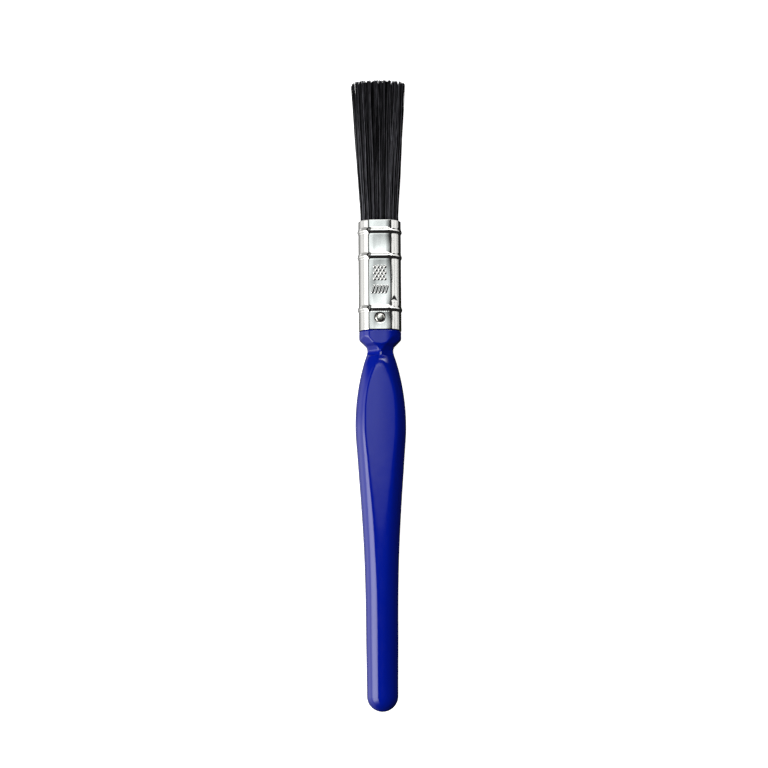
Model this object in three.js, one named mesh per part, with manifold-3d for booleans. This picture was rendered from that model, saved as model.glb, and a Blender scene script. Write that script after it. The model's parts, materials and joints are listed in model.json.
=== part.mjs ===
// A 12 mm trim brush, lying on its back face as it would on a bench. Millimetres, +Z up.
//
// The brush is built the way a brush maker builds one. A turned wooden handle has flats milled on its
// front and back, and a tenon that goes up into the ferrule. The ferrule is a strip of plated steel,
// folded into a tube with a flat panel front and back, seamed, and rolled with three beads. One brad
// each side nails it to the tenon. Above the tenon the butts of the bristles stand in a block of resin,
// in two rows with a wooden plug between them. The bristles leave the ferrule's mouth and spread out.
//
// The brush's own axes have +Y along the axis, from the end of the handle (0) to the tips of the
// bristles, X across the width and Z through the thickness. The group at the end lays it on the bench.

import * as THREE from "three";
import { mergeVertices } from "three/addons/utils/BufferGeometryUtils.js";
import Module from "manifold-3d";

const wasm = await Module();
wasm.setup();

// ------------------------------------------------------------------ driving dimensions
const NOMINAL_WIDTH = 12; // inside width of the ferrule, the size the brush is sold by
const WALL = 0.4; // the ferrule's sheet
const HALF_THICKNESS = 4.7; // of the ferrule, over its front and back panels
const PANEL_HALF_WIDTH = 3.4; // of the flat panels
const HANDLE_LENGTH = 112.5; // end of the handle to its shoulder
const FERRULE_LENGTH = 33.2;
const BRISTLE_LENGTH = 43.4; // outside the ferrule
const CLEARANCE = 0.15; // between parts that fit into each other

const HALF_WIDTH = NOMINAL_WIDTH / 2 + WALL;
const FERRULE_EDGE = HANDLE_LENGTH + CLEARANCE;
const MOUTH = FERRULE_EDGE + FERRULE_LENGTH;
const TOTAL_LENGTH = MOUTH + BRISTLE_LENGTH;

// The ferrule's beads, measured back from the mouth, and its folded seam on the back panel.
const BEAD_PLACES = [3.3, 10.95, 26.85];
const BEAD_HALF_LENGTH = 1.05;
const BEAD_HEIGHT = 0.3;
const BEAD_STEPS = 6;
const SEAM_X = -2.3;
const SEAM_WIDTH = 1.2;
const SEAM_HEIGHT = 0.2;

// The handle is round at its end, oval through the grip, and round again at the neck.
const END_RADIUS = 4.6;
const GRIP_HALF_WIDTH = 7.55;
const GRIP_Y = 84;
const NECK_RADIUS = 3.87;
const NECK_Y = 106.6;
const CONE_Y = 107.9; // where the neck's hollow runs out into the shoulder's 45 degree cone
const CONE_RADIUS = 4.22;
const CONE_END_RADIUS = HALF_WIDTH + 0.2;
const SHOULDER_INSET = 0.1; // the shoulder stands this far inside the ferrule's outline
const ROUND_HALF_WIDTH = 5.15; // up to this half-width the handle is round
const SWELL_BELOW = 0.5; // beyond it, how much of the swell in width there is in depth,
const SWELL_ABOVE = 0.68; // below the widest part of the grip and close to the neck
const SWELL_ABOVE_Y = 98;
const FLAT_HALF_THICKNESS = HALF_THICKNESS + BEAD_HEIGHT; // the milled flats lie level with the beads
const TENON_LENGTH = 14;
const OVERLAP = 1; // how far solids run into each other where they are joined into one

const BRAD_UP = 3.5; // the brads, measured up from the ferrule's edge
const BRAD_HEAD_RADIUS = 1.3;
const BRAD_HEAD_HEIGHT = 0.28;
const BRAD_SHANK_RADIUS = 0.55;
const BRAD_LENGTH = 3.6;
const BRAD_POINT = 1;
const BRAD_SEAT = 0.02; // the head's underside stands this far off the panel
const BRAD_HOLE_RADIUS = 0.66;

// Inside the ferrule, above the tenon.
const RESIN_LENGTH = 6.6;
const RESIN_FLOOR = 2.8; // solid resin under the butts
const PEG_INSET = 1.2; // the butts are this far inside the ferrule's outline where the resin grips them
const BUTT_INSET = 0.55; // and this far in the rest of the ferrule
const BUTTS_BELOW_MOUTH = 0.25;
const PLUG_WIDTH = 8;
const PLUG_THICKNESS = 2;
const PLUG_BELOW_MOUTH = 1.4;

// The free bristles, in locks. Each lock is cut where the rigid model bends it.
const LOCKS_PER_ROW = 6;
const MOUTH_HALF_WIDTH = 5.8;
const TIP_HALF_WIDTH = 8.35;
const MOUTH_HALF_DEPTH = 4.1;
const TIP_HALF_DEPTH = 4.2;
const PACK_ROUNDNESS = 2.8; // exponent of the pack's rounded outline
const LOCK_SPREAD = 0.985; // share of the pack's width in the locks, so that none has a knife edge
const ROW_GAP = 0.2;
const LOCK_GAP = 0.14;
const CUT_GAP = 0.25;
const HEEL_LENGTH = 15; // from the mouth to the cut between heel and tip
const SWAY_PIVOT = 7.5; // above the mouth, about Z
const FLEX_PIVOT = 24; // above the mouth, about X
const SWAY_LIMIT = THREE.MathUtils.degToRad(20);
const FLEX_LIMIT = THREE.MathUtils.degToRad(35);
const TIP_UNEVEN = 0.7; // the shortest lock stops this far below the longest

const SEGMENTS = 32; // round the ferrule and the handle
const PANEL_SEGMENTS = 4;
const BRAD_SEGMENTS = 20;
const LOCK_STEPS = 4; // across a lock's outer face
const FAR = 20; // well outside the brush, for the boxes that cut it

const SIDES = [
  ["front", 1],
  ["back", -1],
];

// ------------------------------------------------------------------ materials
const paint = (color, roughness, metalness) => new THREE.MeshStandardMaterial({ color, roughness, metalness });
const LACQUER = paint(0x0a1a9c, 0.15, 0);
const NICKEL = paint(0xd8d8d4, 0.12, 1);
const BRAD_STEEL = paint(0xb9b7b0, 0.25, 1);
const RESIN = paint(0x8a6a32, 0.3, 0);
const PLUG_WOOD = paint(0xc8a878, 0.7, 0);
const BRISTLE = paint(0x17171a, 0.45, 0);

// ------------------------------------------------------------------ solids
function toSolid(geometry) {
  const bare = geometry.index ? geometry.toNonIndexed() : geometry.clone();
  bare.deleteAttribute("normal");
  bare.deleteAttribute("uv");
  const merged = mergeVertices(bare, 1e-4);
  const corners = merged.index.array;
  const kept = [];
  for (let i = 0; i < corners.length; i += 3) {
    const [a, b, c] = corners.slice(i, i + 3);
    if (a !== b && b !== c && c !== a) kept.push(a, b, c);
  }
  const solid = new wasm.Manifold(
    new wasm.Mesh({
      numProp: 3,
      vertProperties: merged.attributes.position.array,
      triVerts: new Uint32Array(kept),
    }),
  );
  if (solid.volume() < 0) throw new Error("a profile runs the wrong way round, so its solid is inside out");
  return solid;
}

function toGeometry(solid) {
  const mesh = solid.getMesh();
  const geometry = new THREE.BufferGeometry();
  geometry.setAttribute("position", new THREE.Float32BufferAttribute(mesh.vertProperties, 3));
  geometry.setIndex(new THREE.Uint32BufferAttribute(mesh.triVerts, 1));
  geometry.computeVertexNormals();
  return geometry;
}

// A box between two corners, as a solid.
function block([x0, y0, z0], [x1, y1, z1]) {
  const box = new THREE.BoxGeometry(x1 - x0, y1 - y0, z1 - z0);
  box.translate((x0 + x1) / 2, (y0 + y1) / 2, (z0 + z1) / 2);
  return toSolid(box);
}

// ------------------------------------------------------------------ the ferrule's section
// Its round sides are arcs through the edges of the panels and the widest point of the section.
const SIDE_CENTRE =
  (HALF_WIDTH ** 2 - PANEL_HALF_WIDTH ** 2 - HALF_THICKNESS ** 2) / (2 * (HALF_WIDTH - PANEL_HALF_WIDTH));
const SIDE_RADIUS = HALF_WIDTH - SIDE_CENTRE;

// The point at a segment's number round the section, with the section offset outwards. Segment 0 is
// the middle of the front panel, and the numbers run towards +X.
function sectionPoint(segment, offset) {
  const half = SEGMENTS / 2;
  const panelHalf = PANEL_SEGMENTS / 2;
  const wrapped = THREE.MathUtils.euclideanModulo(segment, SEGMENTS);
  const left = wrapped > half;
  const step = left ? SEGMENTS - wrapped : wrapped; // 0 in the middle of the front, half at the back
  const flat = HALF_THICKNESS + offset;
  const radius = SIDE_RADIUS + offset;
  const cornerAngle = Math.asin(flat / radius);
  const cornerX = SIDE_CENTRE + radius * Math.cos(cornerAngle);
  let x;
  let z;
  if (step <= panelHalf) {
    x = (cornerX * step) / panelHalf;
    z = flat;
  } else if (step >= half - panelHalf) {
    x = (cornerX * (half - step)) / panelHalf;
    z = -flat;
  } else {
    const angle = cornerAngle * (1 - (2 * (step - panelHalf)) / (half - PANEL_SEGMENTS));
    x = SIDE_CENTRE + radius * Math.cos(angle);
    z = radius * Math.sin(angle);
  }
  return [left ? -x : x, z];
}

// A turned shape, pressed to the ferrule's section. Each radius in its profile is a half-width, and
// points on the axis stay there.
function pressed(profile) {
  const turned = new THREE.LatheGeometry(profile, SEGMENTS);
  const place = turned.attributes.position;
  for (let i = 0; i < place.count; i++) {
    const radius = Math.hypot(place.getX(i), place.getZ(i));
    const turn = Math.atan2(place.getX(i), place.getZ(i)) / (2 * Math.PI);
    const onAxis = radius < CLEARANCE;
    const [x, z] = onAxis ? [0, 0] : sectionPoint(Math.round(turn * SEGMENTS), radius - HALF_WIDTH);
    place.setX(i, x);
    place.setZ(i, z);
  }
  return toSolid(turned);
}

// A straight bar of the section, inset from it, between two places along the axis.
function bar(inset, from, to) {
  const radius = HALF_WIDTH - inset;
  return pressed([
    new THREE.Vector2(0, from),
    new THREE.Vector2(radius, from),
    new THREE.Vector2(radius, to),
    new THREE.Vector2(0, to),
  ]);
}

// ------------------------------------------------------------------ handle
function handleProfile() {
  const outline = new THREE.Path();
  outline.moveTo(0, 0);
  outline.absarc(0, END_RADIUS, END_RADIUS, -Math.PI / 2, 0, false);
  outline.splineThru([
    new THREE.Vector2(4.75, 20),
    new THREE.Vector2(4.88, 35),
    new THREE.Vector2(5.23, 47),
    new THREE.Vector2(5.95, 60),
    new THREE.Vector2(6.94, 74),
    new THREE.Vector2(GRIP_HALF_WIDTH, GRIP_Y),
    new THREE.Vector2(6.98, 93),
    new THREE.Vector2(5.19, 102),
    new THREE.Vector2(4.73, 103.6),
    new THREE.Vector2(4.09, 105.5),
    new THREE.Vector2(NECK_RADIUS, NECK_Y),
  ]);
  outline.lineTo(CONE_RADIUS, CONE_Y);
  outline.lineTo(CONE_END_RADIUS, CONE_Y + CONE_END_RADIUS - CONE_RADIUS);
  outline.lineTo(CONE_END_RADIUS, HANDLE_LENGTH);
  outline.lineTo(0, HANDLE_LENGTH);
  return outline.getPoints(5);
}

// Half the handle's depth where it has this half-width: the grip swells less in depth than in width.
function handleDepth(halfWidth, y) {
  if (y > NECK_Y) return halfWidth;
  const above = THREE.MathUtils.smoothstep(y, GRIP_Y, SWELL_ABOVE_Y);
  const share = THREE.MathUtils.lerp(SWELL_BELOW, SWELL_ABOVE, above);
  return halfWidth - (1 - share) * Math.max(0, halfWidth - ROUND_HALF_WIDTH);
}

// A hole for a brad, right through the brush from front to back.
function bradHole() {
  const hole = new THREE.CylinderGeometry(BRAD_HOLE_RADIUS, BRAD_HOLE_RADIUS, 2 * FAR, BRAD_SEGMENTS);
  hole.rotateX(Math.PI / 2);
  hole.translate(0, FERRULE_EDGE + BRAD_UP, 0);
  return toSolid(hole);
}

function makeHandle() {
  const turned = new THREE.LatheGeometry(handleProfile(), SEGMENTS);
  const place = turned.attributes.position;
  for (let i = 0; i < place.count; i++) {
    const halfWidth = Math.hypot(place.getX(i), place.getZ(i));
    if (halfWidth > 0) place.setZ(i, (place.getZ(i) * handleDepth(halfWidth, place.getY(i))) / halfWidth);
  }
  const flats = block([-FAR, -FAR, -FLAT_HALF_THICKNESS], [FAR, NECK_Y, FLAT_HALF_THICKNESS]);
  const shoulder = bar(SHOULDER_INSET, NECK_Y - OVERLAP, HANDLE_LENGTH);
  const tenon = bar(WALL + CLEARANCE, HANDLE_LENGTH - OVERLAP, HANDLE_LENGTH + TENON_LENGTH);
  return toSolid(turned).intersect(flats.add(shoulder)).add(tenon).subtract(bradHole());
}

// ------------------------------------------------------------------ ferrule
// How far the sheet stands out at a distance back from the mouth.
function beadOut(fromMouth) {
  const bead = BEAD_PLACES.find((place) => Math.abs(fromMouth - place) < BEAD_HALF_LENGTH);
  return bead ? BEAD_HEIGHT * Math.cos((((fromMouth - bead) / BEAD_HALF_LENGTH) * Math.PI) / 2) : 0;
}

function makeFerrule() {
  const beadShares = Array.from({ length: BEAD_STEPS + 1 }, (_, i) => (2 * i) / BEAD_STEPS - 1);
  const beads = BEAD_PLACES.flatMap((place) => beadShares.map((share) => place + share * BEAD_HALF_LENGTH));
  const places = [0, ...beads, FERRULE_LENGTH].reverse(); // from the lower edge up to the mouth
  const outer = places.map((place) => new THREE.Vector2(HALF_WIDTH + beadOut(place), MOUTH - place));
  const inner = outer.map((point) => new THREE.Vector2(point.x - WALL, point.y)).reverse();
  const tube = pressed([...outer, ...inner, outer[0].clone()]);
  const seam = block(
    [SEAM_X - SEAM_WIDTH / 2, FERRULE_EDGE, -HALF_THICKNESS - SEAM_HEIGHT],
    [SEAM_X + SEAM_WIDTH / 2, MOUTH, -HALF_THICKNESS + WALL / 2],
  );
  return tube.add(seam).subtract(bradHole());
}

// A brad standing on its point along Y, with its domed head above y = 0.
function bradGeometry() {
  const outline = new THREE.Path();
  outline.moveTo(0, -BRAD_LENGTH);
  outline.lineTo(BRAD_SHANK_RADIUS, BRAD_POINT - BRAD_LENGTH);
  outline.lineTo(BRAD_SHANK_RADIUS, 0);
  outline.lineTo(BRAD_HEAD_RADIUS, 0);
  outline.quadraticCurveTo(0.85 * BRAD_HEAD_RADIUS, BRAD_HEAD_HEIGHT, 0, BRAD_HEAD_HEIGHT);
  return new THREE.LatheGeometry(outline.getPoints(6), BRAD_SEGMENTS);
}

// ------------------------------------------------------------------ inside the ferrule
const RESIN_FROM = HANDLE_LENGTH + TENON_LENGTH + CLEARANCE;
const RESIN_TO = RESIN_FROM + RESIN_LENGTH;
const SOCKETS_FROM = RESIN_FROM + RESIN_FLOOR;
const PLUG_FROM = SOCKETS_FROM + CLEARANCE;
const PLUG_TO = MOUTH - PLUG_BELOW_MOUTH;
const GROOVE_GAP = 0.05; // round the plug where it stands in the resin

// The part of a solid at least this far from the middle plane, on the front (1) or the back (-1).
function rowSide(solid, side, fromMiddle) {
  const [low, high] = [side * fromMiddle, side * FAR].sort((a, b) => a - b);
  return solid.intersect(block([-FAR, 0, low], [FAR, TOTAL_LENGTH, high]));
}

// The bristles of one row inside the ferrule, gathered closer where the resin grips them.
function makeButts(side) {
  const gripped = bar(PEG_INSET, SOCKETS_FROM + CLEARANCE, RESIN_TO + OVERLAP);
  const loose = bar(BUTT_INSET, RESIN_TO + CLEARANCE, MOUTH - BUTTS_BELOW_MOUTH);
  return rowSide(gripped.add(loose), side, PLUG_THICKNESS / 2 + CLEARANCE);
}

function makeResin() {
  const socket = bar(PEG_INSET - CLEARANCE, SOCKETS_FROM, RESIN_TO + OVERLAP);
  const grooveHalfWidth = PLUG_WIDTH / 2 + GROOVE_GAP;
  const grooveHalfDepth = PLUG_THICKNESS / 2 + GROOVE_GAP;
  const groove = block(
    [-grooveHalfWidth, SOCKETS_FROM, -grooveHalfDepth],
    [grooveHalfWidth, RESIN_TO + OVERLAP, grooveHalfDepth],
  );
  let resin = bar(WALL + CLEARANCE, RESIN_FROM, RESIN_TO).subtract(groove);
  for (const [, side] of SIDES) resin = resin.subtract(rowSide(socket, side, grooveHalfDepth + GROOVE_GAP));
  return resin;
}

// ------------------------------------------------------------------ bristle locks
// How far below its pivot a lock may start, so that it clears what is under it as it swings. away is
// the distance from the pivot's axis, and reach the distance from the pivot down to the cut.
function swingStart(away, reach, limit) {
  const side = Math.abs(away);
  if (side < reach * Math.sin(limit)) return -Math.sqrt(reach ** 2 - side ** 2);
  return (side * Math.sin(limit) - reach) / Math.cos(limit);
}

// The outline of one lock at a height above the mouth, as [x, z] points. Its outer face follows the
// pack's rounded outline.
function lockOutline(index, side, height) {
  const t = height / BRISTLE_LENGTH;
  const halfWidth = THREE.MathUtils.lerp(MOUTH_HALF_WIDTH, TIP_HALF_WIDTH, t);
  const halfDepth = THREE.MathUtils.lerp(MOUTH_HALF_DEPTH, TIP_HALF_DEPTH, t);
  const pitch = (2 * halfWidth * LOCK_SPREAD) / LOCKS_PER_ROW;
  const from = (index - LOCKS_PER_ROW / 2) * pitch + LOCK_GAP / 2;
  const to = from + pitch - LOCK_GAP;
  const depthAt = (x) => halfDepth * (1 - Math.abs(x / halfWidth) ** PACK_ROUNDNESS) ** (1 / PACK_ROUNDNESS);
  const points = [
    [from, side * (ROW_GAP / 2)],
    [to, side * (ROW_GAP / 2)],
  ];
  for (let i = LOCK_STEPS; i >= 0; i--) {
    const x = THREE.MathUtils.lerp(from, to, i / LOCK_STEPS);
    points.push([x, side * depthAt(x)]);
  }
  return side > 0 ? points : points.reverse();
}

// A lock from its lower end, whose height depends on the place in the pack, up to a height.
function loftLock(index, side, startAt, to) {
  const lower = lockOutline(index, side, startAt(0, 0)).map(([x, z]) => [x, MOUTH + startAt(x, z), z]);
  const upper = lockOutline(index, side, to).map(([x, z]) => [x, MOUTH + to, z]);
  const n = lower.length;
  const faces = [];
  for (let i = 0; i < n; i++) {
    const next = (i + 1) % n;
    faces.push(i, n + i, n + next, i, n + next, next);
  }
  const flat = upper.map(([x, , z]) => new THREE.Vector2(x, z));
  for (const [a, b, c] of THREE.ShapeUtils.triangulateShape(flat, [])) {
    faces.push(a, b, c);
    faces.push(n + a, n + c, n + b);
  }
  const geometry = new THREE.BufferGeometry();
  geometry.setAttribute("position", new THREE.Float32BufferAttribute([...lower, ...upper].flat(), 3));
  geometry.setIndex(faces);
  return geometry;
}

// The lower half of a lock, which clears the ferrule as it sways.
function heelLock(index, side) {
  const reach = SWAY_PIVOT - CUT_GAP;
  return loftLock(index, side, (x) => SWAY_PIVOT + swingStart(x, reach, SWAY_LIMIT), HEEL_LENGTH);
}

// The upper half, which clears the lower half as it flexes.
function tipLock(index, side) {
  const reach = FLEX_PIVOT - HEEL_LENGTH - CUT_GAP;
  const short = index % 2 ? TIP_UNEVEN * (0.5 + 0.5 * Math.sin(2.4 * index + side)) : 0;
  return loftLock(
    index,
    side,
    (x, z) => FLEX_PIVOT + swingStart(z, reach, FLEX_LIMIT),
    BRISTLE_LENGTH - short,
  );
}

// ------------------------------------------------------------------ assembly
// The brush lies on its back flats, with the middle of its length over the origin.
const brush = new THREE.Group();
brush.position.set(0, -TOTAL_LENGTH / 2, FLAT_HALF_THICKNESS);

function add(name, geometry, material) {
  const mesh = new THREE.Mesh(geometry, material);
  mesh.name = name;
  brush.add(mesh);
  return mesh;
}

add("handle", toGeometry(makeHandle()), LACQUER);
add("ferrule", toGeometry(makeFerrule()), NICKEL);
add("resin_setting", toGeometry(makeResin()), RESIN);
const plugLength = PLUG_TO - PLUG_FROM;
const plug = add("spacer_plug", new THREE.BoxGeometry(PLUG_WIDTH, plugLength, PLUG_THICKNESS), PLUG_WOOD);
plug.position.y = PLUG_FROM + plugLength / 2;

for (const [name, side] of SIDES) {
  const brad = add(`${name}_brad`, bradGeometry(), BRAD_STEEL);
  brad.rotation.x = (side * Math.PI) / 2;
  brad.position.set(0, FERRULE_EDGE + BRAD_UP, side * (HALF_THICKNESS + BRAD_SEAT));
  add(`${name}_bristle_butts`, toGeometry(makeButts(side)), BRISTLE);
  for (let i = 0; i < LOCKS_PER_ROW; i++) {
    add(`${name}_heel_lock_${i + 1}`, heelLock(i, side), BRISTLE);
    add(`${name}_tip_lock_${i + 1}`, tipLock(i, side), BRISTLE);
  }
}

const part = new THREE.Group();
part.add(brush);

export default part;
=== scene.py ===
"""The looks of a 12 mm detail brush that lies on its back flat on a pale floor.

The row frame has +Y along the brush, from the end of the handle to the tips of the bristles, and +Z
out of its front. Shapes are worked out in millimetres from the brush's axis and turned into metres as
each mesh is made.
"""

import json
import math

import bpy
import numpy as np
from mathutils import Euler, Matrix, Vector


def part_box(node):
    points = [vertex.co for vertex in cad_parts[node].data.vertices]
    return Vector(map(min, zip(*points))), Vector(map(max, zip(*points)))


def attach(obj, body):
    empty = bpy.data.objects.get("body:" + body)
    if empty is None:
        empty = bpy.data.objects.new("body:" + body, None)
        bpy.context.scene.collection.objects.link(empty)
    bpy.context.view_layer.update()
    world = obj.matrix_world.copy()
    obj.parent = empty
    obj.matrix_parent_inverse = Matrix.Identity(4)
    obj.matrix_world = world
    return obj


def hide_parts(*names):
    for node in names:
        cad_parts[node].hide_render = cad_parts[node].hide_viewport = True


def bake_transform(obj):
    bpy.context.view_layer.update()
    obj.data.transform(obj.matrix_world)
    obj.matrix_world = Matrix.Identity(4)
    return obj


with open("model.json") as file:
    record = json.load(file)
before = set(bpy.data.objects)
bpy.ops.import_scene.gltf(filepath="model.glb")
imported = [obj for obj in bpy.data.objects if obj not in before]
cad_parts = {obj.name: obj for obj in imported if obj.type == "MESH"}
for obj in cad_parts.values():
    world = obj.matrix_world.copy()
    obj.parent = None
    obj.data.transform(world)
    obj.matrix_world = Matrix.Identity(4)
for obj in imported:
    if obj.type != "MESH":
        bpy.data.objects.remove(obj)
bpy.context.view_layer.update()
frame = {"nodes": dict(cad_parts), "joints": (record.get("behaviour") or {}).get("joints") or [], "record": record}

# ------------------------------------------------------------------ sizes, in millimetres
MM = 0.001


def box_mm(node):
    return [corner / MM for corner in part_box(node)]


ferrule_low, ferrule_high = box_mm("ferrule")
handle_low, handle_high = box_mm("handle")
sway, flex = frame["joints"]

AXIS_Z = sway["pos_m"][2] / MM
END_Y = handle_low.y  # the end of the handle
EDGE_Y = ferrule_low.y  # the ferrule's lower edge
MOUTH_Y = ferrule_high.y
BUTTS_Y = box_mm("front_bristle_butts")[1].y  # the upper end of the gripped part
MEETING_Y = box_mm("front_heel_lock_3")[1].y  # where the bristles' two bodies meet
TIPS_Y = box_mm("front_tip_lock_1")[1].y

# The ferrule: flat panels, folds of one radius, and round sides.
BEAD_HEIGHT = 0.3
HALF_WIDTH = ferrule_high.x - BEAD_HEIGHT
HALF_THICKNESS = ferrule_high.z - AXIS_Z - BEAD_HEIGHT
WALL = 0.4
RIM = 0.1  # how far from each end the sheet starts to round over
FERRULE_ROWS = 250
EASE_RADIUS = 13.0  # each panel rolls over gently towards its folds,
EASE_ANGLE = math.radians(6.5)
FOLD_RADIUS = 1.5  # then folds,
FOLD_ANGLE = math.radians(27)  # and the round sides begin
BEAD_PLACES = (3.3, 10.95, 26.85)  # back from the mouth
BEAD_HALF_LENGTH = 1.05
BEAD_UNDERSIDE = 0.8  # each bead's lower flank is the shorter one
BEAD_POWER = 1.5  # a bead's section follows this power of a cosine
GROOVE_DEPTH = 0.012
GROOVE_PLACE = 1.15  # below the bead's middle, in lengths of its lower flank
GROOVE_WIDTH = 0.15
PINCH_X = 3.35  # where the beads are pinched by the folds
PINCH_WIDTH = 0.4
PINCH_DEPTH = 0.3  # as a share of the bead's height
PINCH_SAG = 0.3  # how far the bead bends down there
DISH_SLOPE = 0.047  # of the panels beside the beads, where they start to be pressed in
DISH_SQUARENESS = 2.5
ROLL_OVER = 0.09  # how much further in the panels go on the right, high up
ROLL_OVER_X = 0.8
BRAD_UP = 3.5
BRAD_HEAD_RADIUS = 1.3
BRAD_HEAD_HEIGHT = 0.28
BRAD_SHANK_RADIUS = 0.55
BRAD_LENGTH = 3.6
DIMPLE_RADIUS = 1.75
DIMPLE_DEPTH = 0.12
CRIMP_PITCH = 0.62
CRIMP_DEPTH = 0.035
CRIMP_BELOW = 0.55  # the lowest bead's middle
CRIMP_HALF_LENGTH = 0.3
CRIMP_MARGIN = 0.6  # over which the marks fade out beside the folds
DENT_FROM_MOUTH = 24.1
DENT_X = 4.3
DENT_DEPTH = 0.22
DENT_SIZE = 0.75  # over which it comes back up to the sheet
STUDS_FROM_MOUTH = 14.3
STUDS_ACROSS = 4
STUD_ROWS = 5
STUD_PITCH = 1.05
STUD_RADIUS = 0.2
STUD_FLANK = 0.22
RIBS_FROM_MOUTH = 21.1
RIB_HALF_LENGTH = 0.85
RIBS_TO_EACH_SIDE = 2
RIB_PITCH = 1.0
RIB_HALF_WIDTH = 0.16
RIB_FLANK = 0.2
RIB_SLANT = 0.3
EMBOSS_HEIGHT = 0.19
SEAM_X = -2.3  # the sheet's lapped seam, on the back panel
SEAM_WIDTH = 1.2
SEAM_FLANK = 0.15
SEAM_HEIGHT = 0.2

# The handle, measured from its end.
SHOULDER_GAP = 0.15  # to the ferrule's edge
SHOULDER_TOP = EDGE_Y - END_Y - SHOULDER_GAP
TENON_TOP = handle_high.y - END_Y
TENON_CHAMFER = 0.5
END_RADIUS = 4.6
NECK_RADIUS = 3.87
NECK_Y = 106.6
GRIP_Y = 84
CONE_Y = 107.9
CONE_RADIUS = 4.22
FACET_ANGLE = math.radians(40)  # of the shoulder's slanting facets, from the front
FACET_Y = 106.2  # where they meet in the middle of the front
FACET_SPREAD = 0.79  # how fast they part, to each side
FACET_END = 104.8  # below the neck, where they fade out
FACET_RUN_OUT = 0.6
FACET_DEPTH = 0.17  # the deepest they cut there, as a share of the neck's radius
FACET_ROUNDING = 0.18
SHOULDER_INSET = 0.1
SHOULDER_ROUNDING = 0.3
SHOULDER_EDGE_LENGTH = 0.3  # the last of the shoulder is rounded over,
SHOULDER_EDGE = ((0.18, 0.02), (0.08, 0.08), (0.0, 0.2))  # through these places below its top, and insets
TENON_INSET = 0.55
ROUND_HALF_WIDTH = 5.15
SWELL_BELOW = 0.5  # how much of its swelling in width the grip has in depth, below its middle
SWELL_ABOVE = 0.68  # and from SWELL_ABOVE_Y up
SWELL_ABOVE_Y = 98
FLAT_HALF_THICKNESS = AXIS_Z
TURNED = (  # the turned outline: places up from the end, and half-widths there
    (END_RADIUS, END_RADIUS),
    (20, 4.75),
    (35, 4.88),
    (47, 5.23),
    (60, 5.95),
    (74, 6.94),
    (GRIP_Y, 7.55),
    (93, 6.98),
    (102, 5.19),
    (103.6, 4.73),
    (105.5, 4.09),
    (NECK_Y, NECK_RADIUS),
)
GRIP_INDEX = [place for place, _ in TURNED].index(GRIP_Y)
FLAT_CROWN_RADIUS = 85  # the flats are very slightly crowned
LACQUER_ROUNDING = 0.4  # how far the lacquer rounds the milled edges
NARROWEST_FLAT = math.radians(9)  # the edge's direction where there is no flat
EDGE_BAND = math.radians(3.5)  # to each side of the milled edges, where the mesh is finer
FINE_FROM = 44  # above this the mesh's rings are closer together,
FINER_FROM = NECK_Y - 4  # and closer still from here, where the section starts to turn into the shoulder's

# The bristles.
FILAMENTS = 1300  # about: the pack's outline decides
FILAMENT_SIDES = 5
ROOT_RADIUS = 0.125
TIP_RADIUS = 0.07
PACK_ROUNDNESS = 2.8  # 2 would make the pack's outline an ellipse
PACK_FILL = 0.9  # about the share of its box that the outline fills
OUTER = 0.86  # the filaments past this share of the outline are its outer layer,
STRAY_SHARE = 0.14  # and this many of them stand out at the tips
STRAY_SPLAY = 2.2
SPLAY = 0.16
WAVE = 0.09
WIDEST = 8.5  # no filament lies further to the side
MOUTH_HALF_WIDTH = 5.65
TIP_HALF_WIDTH = 8.3
MOUTH_HALF_DEPTH = 4.0
TIP_HALF_DEPTH = 4.1
FLARE_FROM = 3.0
LEAN = -0.08  # the tips stand this far to one side
PLACE_SCATTER = 0.32  # of a filament, as a share of the distance to the next
CLUMP_PITCH = 1.3  # towards the tips the filaments draw together in clumps this far apart,
CLUMP_PULL = (0.2, 0.55)  # by this share of their distance from the clump's middle
SHEEN_STREAK_SHARE = 0.1  # paler filaments, a painted sheen, come in streaks this far apart, as a share of the half-width
SHEEN_STREAK_WIDTH = 0.42  # as a share of that distance
SHEEN_STREAK_TONES = 64
TRIM = 0.25  # the filaments end this far short of the tip locks,
CORNER_TRIM = 0.7  # and the outermost ones this much shorter still
HEEL_TONE = 1.25  # the filaments and their painted sheen are paler near the ferrule
TIP_TONE = 0.75
BETWEEN_TONE = 0.03  # the palest that a filament between the streaks is
WORN_SHARE = 0.3  # this many filaments end in a worn point,
WORN_TONE = (0.4, 1.2)  # so much paler than the rest of them


# ------------------------------------------------------------------ meshes
def smoothstep(value, low, high):
    """0 below low, 1 above high, and a smooth curve between them."""
    t = np.clip((value - low) / (high - low), 0, 1)
    return t * t * (3 - 2 * t)


def new_piece(name, vertices, faces, material):
    """A smooth-shaded object, from vertices in millimetres of the row frame."""
    mesh = bpy.data.meshes.new(name)
    mesh.from_pydata((np.asarray(vertices) * MM).tolist(), [], faces)
    mesh.shade_smooth()
    mesh.materials.append(material)
    piece = bpy.data.objects.new(name, mesh)
    bpy.context.scene.collection.objects.link(piece)
    return piece


def tube_faces(rows, columns, start=0):
    """Quads round a tube of rows of points, whose vertices begin at start."""
    faces = []
    for row in range(rows - 1):
        low = start + row * columns
        for column in range(columns):
            after = (column + 1) % columns
            faces.append((low + column, low + after, low + columns + after, low + columns + column))
    return faces


def closed_tube(name, rings, material):
    """A tube through rings, an array of rows of points, with a face over each end."""
    rows, columns, _ = rings.shape
    faces = tube_faces(rows, columns)
    faces.append(tuple(range(columns - 1, -1, -1)))
    faces.append(tuple(range((rows - 1) * columns, rows * columns)))
    return new_piece(name, rings.reshape(-1, 3), faces, material)


# ------------------------------------------------------------------ materials
NOISE_LOW = 0.3  # nearly all of a noise's values lie between these
NOISE_HIGH = 0.7


def new_material(name):
    material = bpy.data.materials.new(name)
    material.use_nodes = True
    return material, material.node_tree.nodes, material.node_tree.links


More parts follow.
